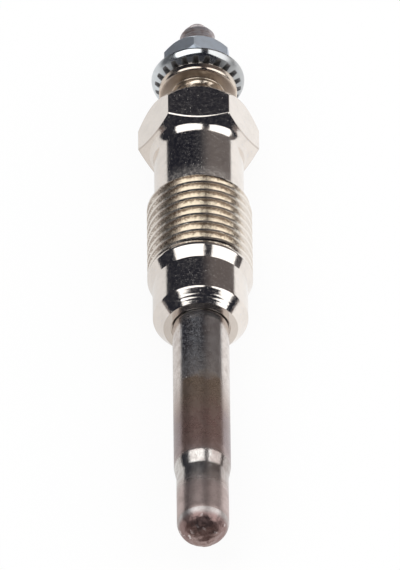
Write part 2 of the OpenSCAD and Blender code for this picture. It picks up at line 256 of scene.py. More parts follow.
def all_round(profile, columns):
    """Rings of a plain turned stretch: each [radius, place] point, the same at every angle."""
    profile = np.asarray(profile, float)
    return np.repeat(profile[:, None, :], columns, axis=1)


def per_angle(points, columns):
    """A profile whose points may be numbers or one number for each angle, as one array."""
    rows = [np.stack([np.broadcast_to(r, columns), np.broadcast_to(s, columns)], -1) for r, s in points]
    return np.stack(rows)


def even_angles(count):
    """That many angles, spread evenly all the way round."""
    return np.linspace(0, 2 * math.pi, count, endpoint=False)


def hexagon_radius(angles, flats, corners, turn=0.0):
    """The radius of a hexagon at each angle: half its flats over the cosine of the angle from the
    nearest flat's middle, and no more than half of what its corners are turned down to."""
    from_flat = (angles - turn + math.pi / 6) % (math.pi / 3) - math.pi / 6
    return np.minimum(flats / 2 / np.cos(from_flat), corners / 2)


def hexagon_angles(count, flats, corners, turn=0.0):
    """Even angles, and three close together at each edge of a hexagon's turned-down corners."""
    edge = math.acos(min(1.0, flats / corners))
    breaks = np.array([edge, -edge] if corners < flats / math.cos(math.pi / 6) else [math.pi / 6])
    breaks = (breaks[:, None] + np.array([-0.006, 0, 0.006])).ravel()
    breaks = (breaks[:, None] + turn + math.pi / 3 * np.arange(6)).ravel() % (2 * math.pi)
    even = even_angles(count)
    gap = np.abs((even[:, None] - breaks + math.pi) % (2 * math.pi) - math.pi).min(1)
    return np.sort(np.concatenate([even[gap > 0.004], breaks]))


def thread_rows(start, end, angles, pitch, crest_at, steps):
    """Places of a right-handed thread's rows, and how far each lies from the nearest crest.

    A pitch has that many rows, and each row follows one line of the thread's profile as it winds
    up, until it has climbed to where the next row began. There the rows are joined to the next
    row's line, so the edges of the crest stay sharp all the way round. Returns one place and one
    distance for each row and angle, which is negative on the tip's side, and the columns after
    which the rows step.
    """
    step = pitch / steps
    sector = np.floor(steps * angles / (2 * math.pi) + 1e-6)
    first = crest_at + step * math.ceil((start - crest_at) / step)
    rows = np.arange(0, math.floor((end - first) / step))
    line = rows[:, None] - sector
    places = first + line * step + pitch * angles / (2 * math.pi)
    turns = (first + line * step - crest_at) / pitch
    return places, (turns - np.round(turns)) * pitch, np.flatnonzero(np.roll(sector, -1) != sector)


def thread_drop(off, depth, crest, root, near=22, far=35):
    """How far a thread lies below its crest, from 0 to depth, by the distance from the crest.

    Past half the crest's width the flank falls at the near angle to the radius on the tip's side,
    and at the far angle on the other. A soft bend, half of x plus the root of x squared and a small
    square, rounds it off at the root.
    """
    slope = np.where(off < 0, math.tan(math.radians(near)), math.tan(math.radians(far)))
    rest = depth - np.maximum(np.abs(off) - crest / 2, 0) / slope
    return np.maximum(depth - (rest + np.sqrt(rest * rest + root * root)) / 2, 0)


def unevenness(points, size, seed, waves=28):
    """Smooth lumps of about unit height: a sum of sine waves in directions, lengths about size and
    phases that a seeded generator gives."""
    chance = np.random.default_rng(seed)
    way = chance.normal(size=(waves, 3))
    way /= np.linalg.norm(way, axis=1, keepdims=True)
    way *= (2 * math.pi / size) * chance.uniform(0.6, 1.6, (waves, 1))
    phase = chance.uniform(0, 2 * math.pi, waves)
    return np.sin(points @ way.T + phase).sum(-1) * math.sqrt(2 / waves)


def in_space(rings, angles):
    """Points in the frame for rings of [radius, place]: radius times sine and cosine of the angle
    across the axis, and the place along it."""
    radius, place = rings[..., 0], rings[..., 1]
    return np.stack([radius * np.sin(angles), SEAT_Y + place, AXIS_Z + radius * np.cos(angles)], -1)


def turned_piece(name, rings, angles, node, material, closed=True, values=None, crease=38,
                 winding=None):
    """A closed surface of revolution as an object of the frame's one body.

    Each ring's neighbours on the grid are joined by quads all the way round. A closed profile also
    joins its last ring to its first. An open one starts and ends on the axis, where a fan of
    triangles about one point closes it. Winding names a thread's first and last row and the columns
    after which its rows step: there each row is joined to the next row's line, and a triangle at
    either end fills up the step. Faces that point inwards as a whole are turned round. Values are
    numbers for each ring and angle that the mesh carries for its finish.
    """
    count, columns = rings.shape[:2]
    points = in_space(rings, angles)
    grid = np.arange(count * columns).reshape(count, columns)
    if not closed:
        points = np.concatenate([points[1:-1].reshape(-1, 3), points[[0, -1], 0]])
        grid = grid[:count - 2]
        count -= 2
    else:
        points = points.reshape(-1, 3)
        grid = np.concatenate([grid, grid[:1]])
    beside = np.roll(grid, -1, axis=1)
    quads = np.stack([grid[:-1], beside[:-1], beside[1:], grid[1:]], -1)
    kept = np.ones(quads.shape[:2], bool)
    fans = np.empty((0, 3), int)
    if winding:
        low, high, steps = winding
        rows, onward = grid[low:high + 1, steps], beside[low:high + 1, steps]
        quads[low:high - 1, steps] = np.stack([rows[:-2], onward[1:-1], onward[2:], rows[1:-1]], -1)
        kept[high - 1, steps] = False
        fans = np.concatenate([np.stack([rows[0], onward[0], onward[1]], -1),
                               np.stack([rows[-2], onward[-1], rows[-1]], -1)])
    quads = quads[kept]
    if not closed:
        first, last = count * columns, count * columns + 1
        fans = np.concatenate([
            fans, np.stack([np.full(columns, first), beside[0], grid[0]], -1),
            np.stack([np.full(columns, last), grid[-1], beside[-1]], -1)])
    triangles = np.concatenate([quads[:, [0, 1, 2]], quads[:, [0, 2, 3]], fans])
    a, b, c = (points[triangles[:, k]] - points.mean(0) for k in range(3))
    if (a * np.cross(b, c)).sum() < 0:
        quads, fans = quads[:, ::-1], fans[:, ::-1]

    mesh = bpy.data.meshes.new(name)
    mesh.vertices.add(len(points))
    mesh.vertices.foreach_set("co", points.astype(np.float32).ravel())
    loops = np.concatenate([quads.ravel(), fans.ravel()]).astype(np.int32)
    sizes = np.concatenate([np.full(len(quads), 4), np.full(len(fans), 3)]).astype(np.int32)
    mesh.loops.add(len(loops))
    mesh.loops.foreach_set("vertex_index", loops)
    mesh.polygons.add(len(sizes))
    mesh.polygons.foreach_set("loop_start", (np.cumsum(sizes) - sizes).astype(np.int32))
    mesh.polygons.foreach_set("loop_total", sizes)
    mesh.polygons.foreach_set("use_smooth", np.ones(len(sizes), bool))
    mesh.update(calc_edges=True)
    if mesh.validate():
        raise RuntimeError(f"the mesh of {name} has faces that Blender had to mend")
    mesh.set_sharp_from_angle(angle=math.radians(crease))
    for label, value in (values or {}).items():
        value = np.broadcast_to(value, rings.shape[:2])
        if not closed:
            value = np.concatenate([value[1:-1].ravel(), value[[0, -1], 0]])
        numbers = mesh.attributes.new(label, "FLOAT", "POINT").data
        numbers.foreach_set("value", value.ravel().astype(np.float32))
    mesh.materials.append(material)
    piece = bpy.data.objects.new(name, mesh)
    bpy.context.scene.collection.objects.link(piece)
    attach(piece, "root")
    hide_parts(node)
    return piece


# Finishes


class Value:
    """A number that a node puts out. Python's operators on it add Math nodes."""

    def __init__(self, nodes, output):
        self.nodes, self.output = nodes, output

    def sum(self, operation, first, second):
        return self.nodes.node("ShaderNodeMath", {"operation": operation}, {0: first, 1: second})

    def __add__(self, other):
        return self.sum("ADD", self, other)

    def __radd__(self, other):
        return self.sum("ADD", other, self)

    def __sub__(self, other):
        return self.sum("SUBTRACT", self, other)

    def __rsub__(self, other):
        return self.sum("SUBTRACT", other, self)

    def __mul__(self, other):
        return self.sum("MULTIPLY", self, other)

    def __rmul__(self, other):
        return self.sum("MULTIPLY", other, self)

    def __truediv__(self, other):
        return self.sum("DIVIDE", self, other)

    def __gt__(self, other):
        return self.sum("GREATER_THAN", self, other)


class Nodes:
    """The nodes of one material or of the world."""

    def __init__(self, tree):
        self.tree = tree

    def feed(self, socket, value):
        """Links a value to a socket, or puts a colour or a plain number straight on it."""
        if isinstance(value, Value):
            self.tree.links.new(value.output, socket)
        else:
            socket.default_value = (*value, 1) if socket.type == "RGBA" else value

    def node(self, kind, settings=None, sockets=None, output=0):
        """A node of that type with its settings, then its sockets' values or links. Returns one of
        its outputs, unless output is None."""
        made = self.tree.nodes.new(kind)
        for name, value in (settings or {}).items():
            setattr(made, name, value)
        for key, value in (sockets or {}).items():
            self.feed(made.inputs[key], value)
        return None if output is None else Value(self, made.outputs[output])

    def spot(self):
        """Object coordinates counted from where the plug's axis meets the seat's end face."""
        place = self.node("ShaderNodeTexCoord", output="Object")
        return self.node("ShaderNodeMapping", None, {"Vector": place, "Location": (0, -SEAT_Y, -AXIS_Z)})

    def part(self, vector, axis):
        """One of the three numbers of a vector."""
        return self.node("ShaderNodeSeparateXYZ", None, {"Vector": vector}, axis)

    def attribute(self, name):
        """A number that the mesh carries under that name."""
        return self.node("ShaderNodeAttribute", {"attribute_name": name}, None, "Fac")

    def scaled(self, vector, factors):
        """A vector with its three numbers multiplied."""
        return self.node("ShaderNodeVectorMath", {"operation": "MULTIPLY"}, {0: vector, 1: factors})

    def noise(self, vector, size, detail=3.0, rough=0.55):
        """Soft noise from 0 to 1 whose lumps are about that size."""
        return self.node("ShaderNodeTexNoise", None,
                         {"Vector": vector, "Scale": 1 / size, "Detail": detail, "Roughness": rough})

    def ease(self, value, low, high):
        """0 below low, 1 above high, and a smooth step between."""
        return self.node("ShaderNodeMapRange", {"interpolation_type": "SMOOTHSTEP"},
                         {"Value": value, "From Min": low, "From Max": high})

    def hump(self, value, *ends):
        """A smooth rise from 0 to 1 between the first two ends, and a smooth fall to 0 between the
        last two."""
        return self.ease(value, *ends[:2]) * (1 - self.ease(value, *ends[2:]))

    def flanks(self, spot, low, high):
        """0 in the middle and 1 at both sides: a smooth step by the square of the millimetres across."""
        across = self.part(spot, 0) / MM
        return self.ease(across * across, low, high)

    def blend(self, factor, first, second):
        """A colour between two, by a factor from 0 to 1."""
        return self.node("ShaderNodeMix", {"data_type": "RGBA"}, {0: factor, 6: first, 7: second}, 2)

    def coats(self, base, *coats):
        """A colour with others laid over it in turn, each by its own factor from 0 to 1."""
        for factor, rgb in coats:
            base = self.blend(factor, base, rgb)
        return base

    def specks(self, vector, size, radius, rarity):
        """Small round specks, 1 inside: near the middle of some of the cells of a cell pattern."""
        cells = {"Vector": vector, "Scale": 1 / size}
        near = self.node("ShaderNodeTexVoronoi", None, cells, "Distance")
        pick = self.node("ShaderNodeTexVoronoi", None, cells, "Color")
        return (1 - self.ease(near, radius / size * 0.6, radius / size)) * (self.part(pick, 0) > rarity)


class Finish(Nodes):
    """A new material with one surface shader. Plain numbers go straight onto its sockets."""

    def __init__(self, name, **sockets):
        self.material = bpy.data.materials.new(name)
        self.material.use_nodes = True
        super().__init__(self.material.node_tree)
        self.shader = next(n for n in self.tree.nodes if n.type == "BSDF_PRINCIPLED")
        self.set(**sockets)

    def set(self, **sockets):
        """Puts values or links on the shader's sockets, by name with underscores for spaces."""
        for name, value in sockets.items():
            self.feed(self.shader.inputs[name.replace("_", " ").title()], value)

    def bump(self, height, depth):
        """Raises the surface by height, a value of about 0 to 1, times depth."""
        self.set(normal=self.node("ShaderNodeBump", None, {"Distance": depth, "Height": height}))


def nickel_finish(looks):
    """Bright nickel plate. The turned faces have fine clouding, haze and dust, and a dull film just
    above the thread. The thread is satin, yellower and grainy, with brown stains in its grooves and a
    dark strip on its left. The hexagon's near face is browner on the left, with a dark line along
    its edge."""
    plate = Finish("nickel_plate")
    spot = plate.spot()
    along = plate.part(spot, 1)
    across = plate.part(spot, 0) / MM
    right = plate.ease(across, -1.0, 1.0)
    side, outside = plate.flanks(spot, 10.0, 26.0), plate.flanks(spot, 13.0, 20.0)
    groove, near = plate.attribute("groove"), plate.attribute("near_face")
    thread = plate.hump(along, looks.thread_start - 0.1 * MM, looks.thread_start + 0.7 * MM,
                        looks.thread_end + 0.1 * MM, looks.shank_start)
    left_band = thread * plate.hump(across, -5.4, -4.2, -2.8, -1.8)
    veil = 1 - plate.hump(along, looks.thread_start, looks.shank_start,
                          looks.hex_start - 1.0 * MM, looks.hex_start)
    cloud = plate.noise(spot, 1.6 * MM, 4)
    grain = plate.noise(spot, 0.13 * MM, 3)
    fleck = plate.noise(spot, 0.22 * MM, 3, 0.7)
    streak = plate.noise(plate.scaled(spot, (1, 9, 1)), 0.5 * MM, 3)
    haze = plate.ease(plate.noise(spot, 0.36 * MM, 4, 0.7), 0.42, 0.7) * (1 - thread)
    film = plate.hump(along, looks.thread_end, looks.shank_start, looks.shank_start,
                      looks.shank_start + 2.2 * MM) * (0.4 + haze)
    powder = plate.specks(spot, 0.33 * MM, 0.06 * MM, 0.55) * (1 - thread)
    dust = (0.7 * plate.specks(spot, 0.8 * MM, 0.05 * MM, 0.85)
            + 0.4 * plate.specks(spot, 0.3 * MM, 0.04 * MM, 0.7)) * (1 - thread)
    stain = plate.ease(fleck + 0.3 * cloud + 0.04 * right - 0.5 * groove, 0.43, 0.53) * (
        plate.ease(groove, 0.02, 0.1)) * thread * (1 - (0.25 + 0.65 * right) * side)
    yellow = thread * (1 - 0.5 * plate.ease(groove, 0.75, 1.0)) * (1 - 0.7 * side)
    end_face = 1 - plate.ease(along, 0.01 * MM, 0.05 * MM)
    base = plate.coats(
        looks.plate,
        (plate.ease(cloud, 0.35, 0.75), [0.93 * c for c in looks.plate]),
        (yellow, looks.thread_plate),
        (0.3 * left_band, (0.42, 0.35, 0.32)),
        (0.5 * near * fleck * outside * (1 - 0.8 * right), (0.66, 0.55, 0.46)),
        (2.2 * near * (1 - near) * outside, (0.46, 0.39, 0.34)),
        (0.8 * stain, (0.24, 0.175, 0.13)),
        (0.6 * end_face, (0.55, 0.48, 0.42)),
        (0.7 * powder, (0.66, 0.72, 0.90)),
        (dust, (0.75, 0.74, 0.72)))
    rough = 0.06 + 0.04 * cloud + 0.03 * streak + 0.1 * haze + (
        thread * (0.03 + 0.1 * grain) + 0.1 * left_band + 0.5 * dust)
    dull = 0.007 * veil + 0.03 * (1 - veil) * (1 - thread) * right * (0.5 + streak) + (
        0.03 * haze + 0.2 * film + 0.02 * left_band + 0.16 * dust + 0.015 * powder)
    plate.set(base_color=base, roughness=rough, metallic=1 - dull)
    plate.bump(grain * thread + 0.2 * grain + 0.2 * streak + dust, 0.012 * MM)
    return plate.material


def tube_finish(sizes):
    """Drawn alloy with heat tint: grey at the body, brown from a sharp edge on along the tube, later and
    paler on its flanks, and mauve at the tip. The paler flanks and their later brown are painted light, for
    the brighter reflection along the tube's sides. A bright ring lies on the taper, with painted shade on its
    right side, and a bright band before the weld, which is burnt and flecked. Faint drawing lines, mottling
    and dust lie over it."""
    tube = Finish("heat_tinted_alloy")
    spot = tube.spot()
    along = tube.part(spot, 1)
    across = tube.part(spot, 0) / MM
    from_tip = along - TIP_END
    right, side = tube.ease(across, -0.5, 0.8), tube.flanks(spot, 3.8, 6.5)
    mottle = tube.noise(spot, 1.1 * MM, 4, 0.6)
    grain = tube.noise(spot, 0.16 * MM, 3)
    lines = tube.noise(tube.scaled(spot, (1, 0.06, 1)), 0.22 * MM, 3)
    bead = tube.noise(spot, 0.8 * MM, 3)
    scale = tube.ease(tube.noise(spot, 0.4 * MM, 4, 0.8), 0.42, 0.66)

    shift = along + 5 * MM * (mottle - 0.5)
    tint = sizes.tint_edge
    brown = 1 - 0.35 * tube.ease(shift, -11 * MM, -4 * MM) - 0.65 * tube.ease(
        along + 2.4 * MM * (mottle - 0.5), tint, tint + 1.6 * MM)
    edge = tube.hump(along, tint, tint + 0.5 * MM, tint + 0.9 * MM, tint + 1.4 * MM)
    # Painted light: late and the flank tint below make the tube's flanks paler, with the brown starting later
    # there, for the brighter reflection along its sides.
    late = 1 - tube.ease(shift, -16 * MM, -9.5 * MM)
    lower = 1 - tube.ease(shift, -17 * MM, -12 * MM)
    olive = tube.blend(lower, (0.245, 0.18, 0.135), sizes.brown)
    flank = tube.blend(lower, (0.41, 0.31, 0.26), (0.34, 0.28, 0.285))
    mauve = 1 - tube.ease(shift, sizes.tip_start - 1.5 * MM, sizes.taper_start + 2.5 * MM)
    ring = tube.hump(along, sizes.tip_start - 4.0 * MM, sizes.tip_start - 0.4 * MM,
                     sizes.taper_start - 0.4 * MM, sizes.taper_start + 0.4 * MM)
    # Painted shade: darkens the right side of the bright ring on the taper.
    ring_shade = tube.ease(across + 1.4 * (mottle - 0.5), 0.7, 1.3)
    band = tube.hump(from_tip, 1.2 * MM, 1.8 * MM, 2.28 * MM, 2.34 * MM)
    weld = 1 - tube.ease(from_tip + 0.8 * MM * (mottle - 0.5), 1.1 * MM, 2.0 * MM)
    burnt = tube.hump(from_tip, 0.3 * MM, 0.8 * MM, 1.4 * MM, 2.0 * MM)
    fleck = weld * tube.ease(tube.noise(spot, 0.9 * MM, 2), 0.6, 0.68)
    dust = tube.specks(spot, 1.1 * MM, 0.05 * MM, 0.9) + (
        edge * tube.specks(spot, 0.8 * MM, 0.09 * MM, 0.6))
    powder = tube.specks(spot, 0.36 * MM, 0.08 * MM, 0.5) * (
        0.15 + 0.85 * tube.ease(shift, -12 * MM, -3 * MM))
    base = tube.coats(
        sizes.alloy,
        (0.6 * scale * (1 - right), (0.60, 0.64, 0.72)),
        # Painted light: the flanks are laid paler here and take the flank tint.
        (side, (0.75, 0.69, 0.65)),
        (brown * (1 - side) + late * side, tube.blend(side, olive, flank)),
        (mauve, sizes.mauve),
        (0.7 * band, (0.68, 0.67, 0.66)),
        # Painted shade: the ring is laid less bright and darker on its right side.
        (ring * (0.85 - 0.5 * ring_shade), (0.76, 0.75, 0.72)),
        (ring * (0.5 * ring_shade + 0.5 * tube.ease(lines, 0.52, 0.66)), (0.40, 0.37, 0.35)),
        (0.4 * tube.ease(mottle + 0.4 * grain, 0.55, 0.9), (0.28, 0.21, 0.185)),
        (weld * tube.ease(grain + mottle, 0.45, 1.0), (0.34, 0.235, 0.215)),
        (0.55 * burnt, (0.30, 0.195, 0.185)),
        (0.8 * fleck, (0.86, 0.78, 0.76)),
        (dust, (0.6, 0.58, 0.56)))
    rough = (0.11 + 0.07 * mottle + 0.07 * grain + 0.1 * brown + 0.04 * mauve + 0.2 * dust) * (
        1 - 0.4 * ring) + 0.08 * band + 0.05 * weld
    dull = (0.14 * scale * (1 + mauve) * (1 - 0.6 * right) + 0.2 * brown * (1 - mauve) * (1 - side)
            + 0.2 * powder) * (1 - 0.8 * ring - 0.6 * band)
    tube.set(base_color=base, roughness=rough, metallic=1 - dull)
    tube.bump(0.8 * grain + 0.5 * lines + 10 * weld * bead + dust, 0.012 * MM)
    return tube.material


def zinc_finish(sizes):
    """Blue-white zinc plate with soft clouding: bright on the washer, with painted shade that makes it darker
    on its right and dull grey in the gaps between its teeth, and satin on the nut, which is more handled on
    one side."""
    zinc = Finish("zinc_plate")
    spot = zinc.spot()
    across, along = zinc.part(spot, 0), zinc.part(spot, 1)
    nut = zinc.ease(along, NUT_START - 0.02 * MM, NUT_START + 0.04 * MM)
    cone = 1 - zinc.ease(along, WASHER_START + 0.6 * MM, WASHER_START + 0.85 * MM)
    right = zinc.ease(across, -3 * MM, 3 * MM)
    side = zinc.flanks(spot, 4.0, 13.0) * (1 - nut)
    cloud = zinc.noise(spot, 1.2 * MM, 4)
    grain = zinc.noise(spot, 0.12 * MM, 3)
    handled = zinc.ease(across + 1.2 * MM * (cloud - 0.5), -0.6 * MM, 0.1 * MM)
    # Painted shade: the gaps between the washer's teeth are darkened to dull grey.
    dull = zinc.ease(zinc.attribute("gap") + 0.3 * (cloud - 0.5), 0.1, 0.8)
    base = zinc.coats(
        (0.82, 0.86, 0.88),
        # Painted shade: the washer is laid darker on its right side.
        (right, (0.56, 0.57, 0.57)),
        (nut, sizes.zinc),
        (0.35 * zinc.ease(cloud, 0.4, 0.7), (0.47, 0.49, 0.52)),
        (dull, (0.32, 0.32, 0.33)))
    rough = 0.1 + 0.05 * cloud + 0.2 * side + 0.25 * dull + 0.15 * cone + (
        nut * (0.2 + 0.13 * handled + 0.08 * grain))
    zinc.set(base_color=base, roughness=rough, metallic=1 - 0.06 * nut * (1 - handled))
    zinc.bump(0.6 * grain * nut + 0.25 * grain + 0.3 * cloud, 0.008 * MM)
    return zinc.material


def warm_finish(sizes):
    """Bright nickel plate, a little yellower than the body's, with light clouding. The hub is paler,
    and the flange's near face is dull."""
    plate = Finish("warm_nickel", metallic=1.0)
    spot = plate.spot()
    along = plate.part(spot, 1)
    cloud = plate.noise(spot, 0.9 * MM, 4)
    grain = plate.noise(spot, 0.12 * MM, 2)
    flange = sizes.flange_start
    hub = 1 - plate.ease(along, flange - 0.06 * MM, flange - 0.01 * MM)
    face = 1 - plate.ease(along, flange + 0.02 * MM, flange + 0.1 * MM) - hub
    side = plate.flanks(spot, 2.0, 8.0) * (1 - hub)
    base = plate.coats(
        sizes.warm_plate,
        (plate.ease(cloud, 0.4, 0.7), (0.68, 0.56, 0.46)),
        (hub, (0.87, 0.77, 0.64)),
        (0.7 * face, (0.46, 0.385, 0.335)))
    rough = 0.08 + 0.06 * cloud + 0.03 * grain + 0.2 * face + 0.1 * hub + 0.12 * side
    plate.set(base_color=base, roughness=rough)
    plate.bump(0.5 * grain + cloud, 0.006 * MM)
    return plate.material


def stud_finish(sizes):
    """Dark plated steel with brown and mauve patches, and painted shade that darkens its thread's roots."""
    steel = Finish("stud_steel", metallic=1.0)
    spot = steel.spot()
    cloud = steel.noise(spot, 0.7 * MM, 4)
    grain = steel.noise(spot, 0.1 * MM, 3)
    # Painted shade: the deeper half of each thread groove is darkened almost to black.
    base = steel.coats(
        sizes.stud_steel,
        (steel.ease(cloud, 0.4, 0.65), (0.44, 0.37, 0.36)),
        (0.8 * steel.ease(steel.attribute("groove"), 0.5, 1.0), (0.06, 0.05, 0.048)))
    steel.set(base_color=base, roughness=0.3 + 0.2 * cloud + 0.1 * grain)
    steel.bump(grain + cloud, 0.012 * MM)
    return steel.material


def plain_finish(name, rgb, size, rough, metallic, depth):
    """A finish with fine grain of one size, for moulded, pressed and drawn pieces."""
    made = Finish(name, metallic=metallic)
    grain = made.noise(made.spot(), size, 4)
    base = made.blend(made.ease(grain, 0.3, 0.7), [0.82 * c for c in rgb], rgb)
    made.set(base_color=base, roughness=rough + 0.15 * grain)
    made.bump(grain, depth)
    return made.material


# Pieces


class GLOWPLUG_OT_body(Operator):
    """Turn the body: seat, plain shank, cut thread, shank, fillet, hexagon and bores"""

    bl_idname = "glowplug.body"
    bl_label = "Body"

    def execute(self, context):
        b = context.scene.plug_body
        angles = hexagon_angles(264, b.flats, b.corners)
        columns = len(angles)
        mouth_r, foot_r, lower_r = TUBE_R + b.mouth_gap, b.seat_foot / 2, b.lower / 2
        thread_r, shank_r, flat_r = b.thread / 2, b.shank / 2, b.flats / 2

        def seat(t):
            return [foot_r + (lower_r - foot_r) * t, b.seat_length * t]

        mouth = softened([[mouth_r, b.mouth_depth], [mouth_r, 0], [foot_r, 0], seat(0.12)], 0.06 * MM)
        t = np.linspace(0.15, 0.72, 30)
        rings = b.seat_ring * np.sin(np.linspace(0, math.pi, len(t))) * np.sin(t * 27)
        outward = np.array([b.seat_length, foot_r - lower_r])
        cone = np.stack(seat(t), -1) + rings[:, None] * outward / np.linalg.norm(outward)
        lower = softened([seat(0.75), [lower_r, b.seat_length], [lower_r, b.runout_start],
                          [thread_r, b.thread_start], [thread_r, b.thread_start + 0.15 * MM]],
                         [b.seat_edge, 0.15 * MM, 0.1 * MM])

        places, off, steps = thread_rows(b.thread_start + 0.2 * MM, b.shank_start - 0.12 * MM, angles,
                                         b.pitch, b.crest_at, steps=16)
        depth = 0.55 * b.pitch
        base = np.interp(places, [b.thread_start, b.thread_end, b.shank_start], [thread_r, thread_r, shank_r])
        drop = thread_drop(off, depth, crest=0.25 * b.pitch, root=0.06 * b.pitch)
        starts = np.clip((places - b.thread_start - 0.3 * MM) / (0.8 * MM), 0, 1)
        spots = in_space(np.stack([base, places], -1), angles)
        nicks = b.nicks * np.abs(unevenness(spots, size=0.9 * MM, seed=5)) * starts
        thread = np.stack([np.minimum(base, thread_r - drop * starts - nicks), places], -1)

        fillet_h = 0.92 * (flat_r - shank_r)
        bend = np.radians(np.linspace(0, 68, 18))
        fillet = np.stack([shank_r + fillet_h * (1 - np.cos(bend)),
                           b.hex_start - b.fillet + b.fillet * np.sin(bend)], -1)
        slope = b.fillet / fillet_h / math.tan(bend[-1])
        out = hexagon_radius(angles, b.flats, b.corners)
        past = (out - flat_r) / (b.corners / 2 - flat_r)
        near = fillet[-1, 1] + (out - fillet[-1, 0]) * slope
        hexagon = softened(per_angle([
            fillet[-1] + (fillet[-1] - fillet[-2]) * 0.1, [out, near],
            [out, BODY_END - past * b.far_chamfer - 0.06 * MM], [flat_r - 0.06 * MM, BODY_END],
            [b.counterbore / 2, BODY_END], [b.counterbore / 2, b.counterbore_at]], columns),
            [b.near_edge, 0.12 * MM, 0.08 * MM, 0.12 * MM])
        inside = [[b.stud_bore / 2, b.counterbore_at], [b.stud_bore / 2, TUBE_TOP],
                  [TUBE_R, TUBE_TOP], [TUBE_R, b.mouth_depth]]
        shank = [[shank_r, b.shank_start], [shank_r, b.shank_start + 0.04 * MM]]
        turned = [all_round(x, columns) for x in (mouth, cone, lower, shank, fillet, inside)]
        rings = np.concatenate([*turned[:3], thread, *turned[3:5], hexagon, turned[5]])

        groove, near_face = np.zeros((2, len(rings), columns))
        before = sum(len(x) for x in turned[:3])
        groove[before:before + len(thread)] = drop * starts / depth
        first = len(rings) - len(hexagon) - len(inside)
        fade = np.array([1, 1, 1, 0.75, 0.5, 0.25, 0])
        near_face[first:first + len(fade)] = fade[:, None]
        turned_piece("body", rings, angles, "plug_body", nickel_finish(b),
                     values={"groove": groove, "near_face": near_face},
                     winding=(before, before + len(thread) - 1, steps))
        return {"FINISHED"}


class GLOWPLUG_OT_tube(Operator):
    """Draw the glow tube: closed and rounded tip with its weld, taper and open end"""

    bl_idname = "glowplug.tube"
    bl_label = "Glow tube"

    def execute(self, context):
        t = context.scene.plug_tube
        angles = even_angles(192)
        columns = len(angles)
        tip_r, inner_r, tip_in_r = t.tip / 2, TUBE_R - t.wall, t.tip / 2 - t.tip_wall
        floor = TIP_END + t.end_wall
        inside = softened([
            [0, floor], [tip_in_r - t.end_chamfer, floor], [tip_in_r, floor + t.end_chamfer],
            [tip_in_r, t.tip_start], [inner_r, t.taper_start], [inner_r, TUBE_TOP], [TUBE_R, TUBE_TOP],
            [TUBE_R, t.taper_start], [tip_r, t.tip_start], [tip_r, TIP_END + t.tip_round + 0.1 * MM]],
            np.array([0.2, 0.2, 0.2, 0.2, 0.08, 0.1, 1.6, 2.5]) * MM, steps=7)
        bend = np.radians(np.linspace(8, 90, 60))
        nose = tip_r - t.tip_round * math.cos(bend[0])
        dome = np.stack([nose + t.tip_round * np.cos(bend), TIP_END + t.tip_round * (1 - np.sin(bend))], -1)
        dome = all_round(np.concatenate([dome, [[nose * 0.5, TIP_END], [0, TIP_END]]]), columns)
        spots = in_space(dome, angles)
        weld = np.clip((TIP_END + 2.0 * MM - dome[..., 1]) / (1.3 * MM), 0, 1) ** 1.5
        lumps = unevenness(spots, size=2.6 * MM, seed=11)
        lumps += 0.5 * unevenness(spots, size=1.0 * MM, seed=12)
        ridges = np.abs(unevenness(spots, size=3.0 * MM, seed=13))
        push = t.weld_height * weld * (0.5 * lumps - 0.6 - 0.5 * ridges)
        way = dome - np.array([nose, TIP_END + t.tip_round])
        way = way / np.linalg.norm(way, axis=-1, keepdims=True)
        dome = dome + np.minimum(push, 0)[..., None] * way
        dome[-1, :, 0] = 0
        turned_piece("tube", np.concatenate([all_round(inside, columns), dome]), angles, "glow_tube",
                     tube_finish(t), closed=False)
        return {"FINISHED"}


class GLOWPLUG_OT_stud(Operator):
    """Turn the terminal stud: spigot, pin, and the cut thread on its free end"""

    bl_idname = "glowplug.stud"
    bl_label = "Terminal stud"

    def execute(self, context):
        s = context.scene.plug_terminal
        angles = even_angles(160)
        columns = len(angles)
        engaged_r = s.engaged / 2
        pin = softened([[0, STUD_FOOT], [s.spigot / 2, STUD_FOOT], [s.spigot / 2, s.spigot_end],
                        [s.inner_stud / 2, s.spigot_end], [s.inner_stud / 2, TUBE_TOP],
                        [STUD_R, TUBE_TOP], [STUD_R, HUB_START], [engaged_r, HUB_START],
                        [engaged_r, NUT_END - 0.02 * MM]], 0.05 * MM, steps=3)
        places, off, steps = thread_rows(NUT_END, STUD_END - 0.1 * MM, angles, s.stud_pitch, STUD_END,
                                         steps=12)
        depth, end_r = 0.6 * s.stud_pitch, s.stud_end / 2
        base = np.interp(places, [STUD_END - s.stud_point, STUD_END], [STUD_R, end_r])
        drop = thread_drop(off, depth, crest=0.167 * s.stud_pitch, root=0.1 * s.stud_pitch, near=30, far=30)
        thread = np.stack([np.minimum(base - 0.65 * drop, STUD_R - drop), places], -1)
        end = softened([[end_r, STUD_END - 0.015 * MM], [end_r - 0.08 * MM, STUD_END], [0, STUD_END]],
                       0.05 * MM)
        rings = np.concatenate([all_round(pin, columns), thread, all_round(end, columns)])
        groove = np.zeros(rings.shape[:2])
        groove[len(pin):len(pin) + len(thread)] = drop / depth
        turned_piece("stud", rings, angles, "terminal_stud", stud_finish(s), closed=False,
                     values={"groove": groove}, winding=(len(pin) - 1, len(pin) + len(thread) - 2, steps))
        return {"FINISHED"}


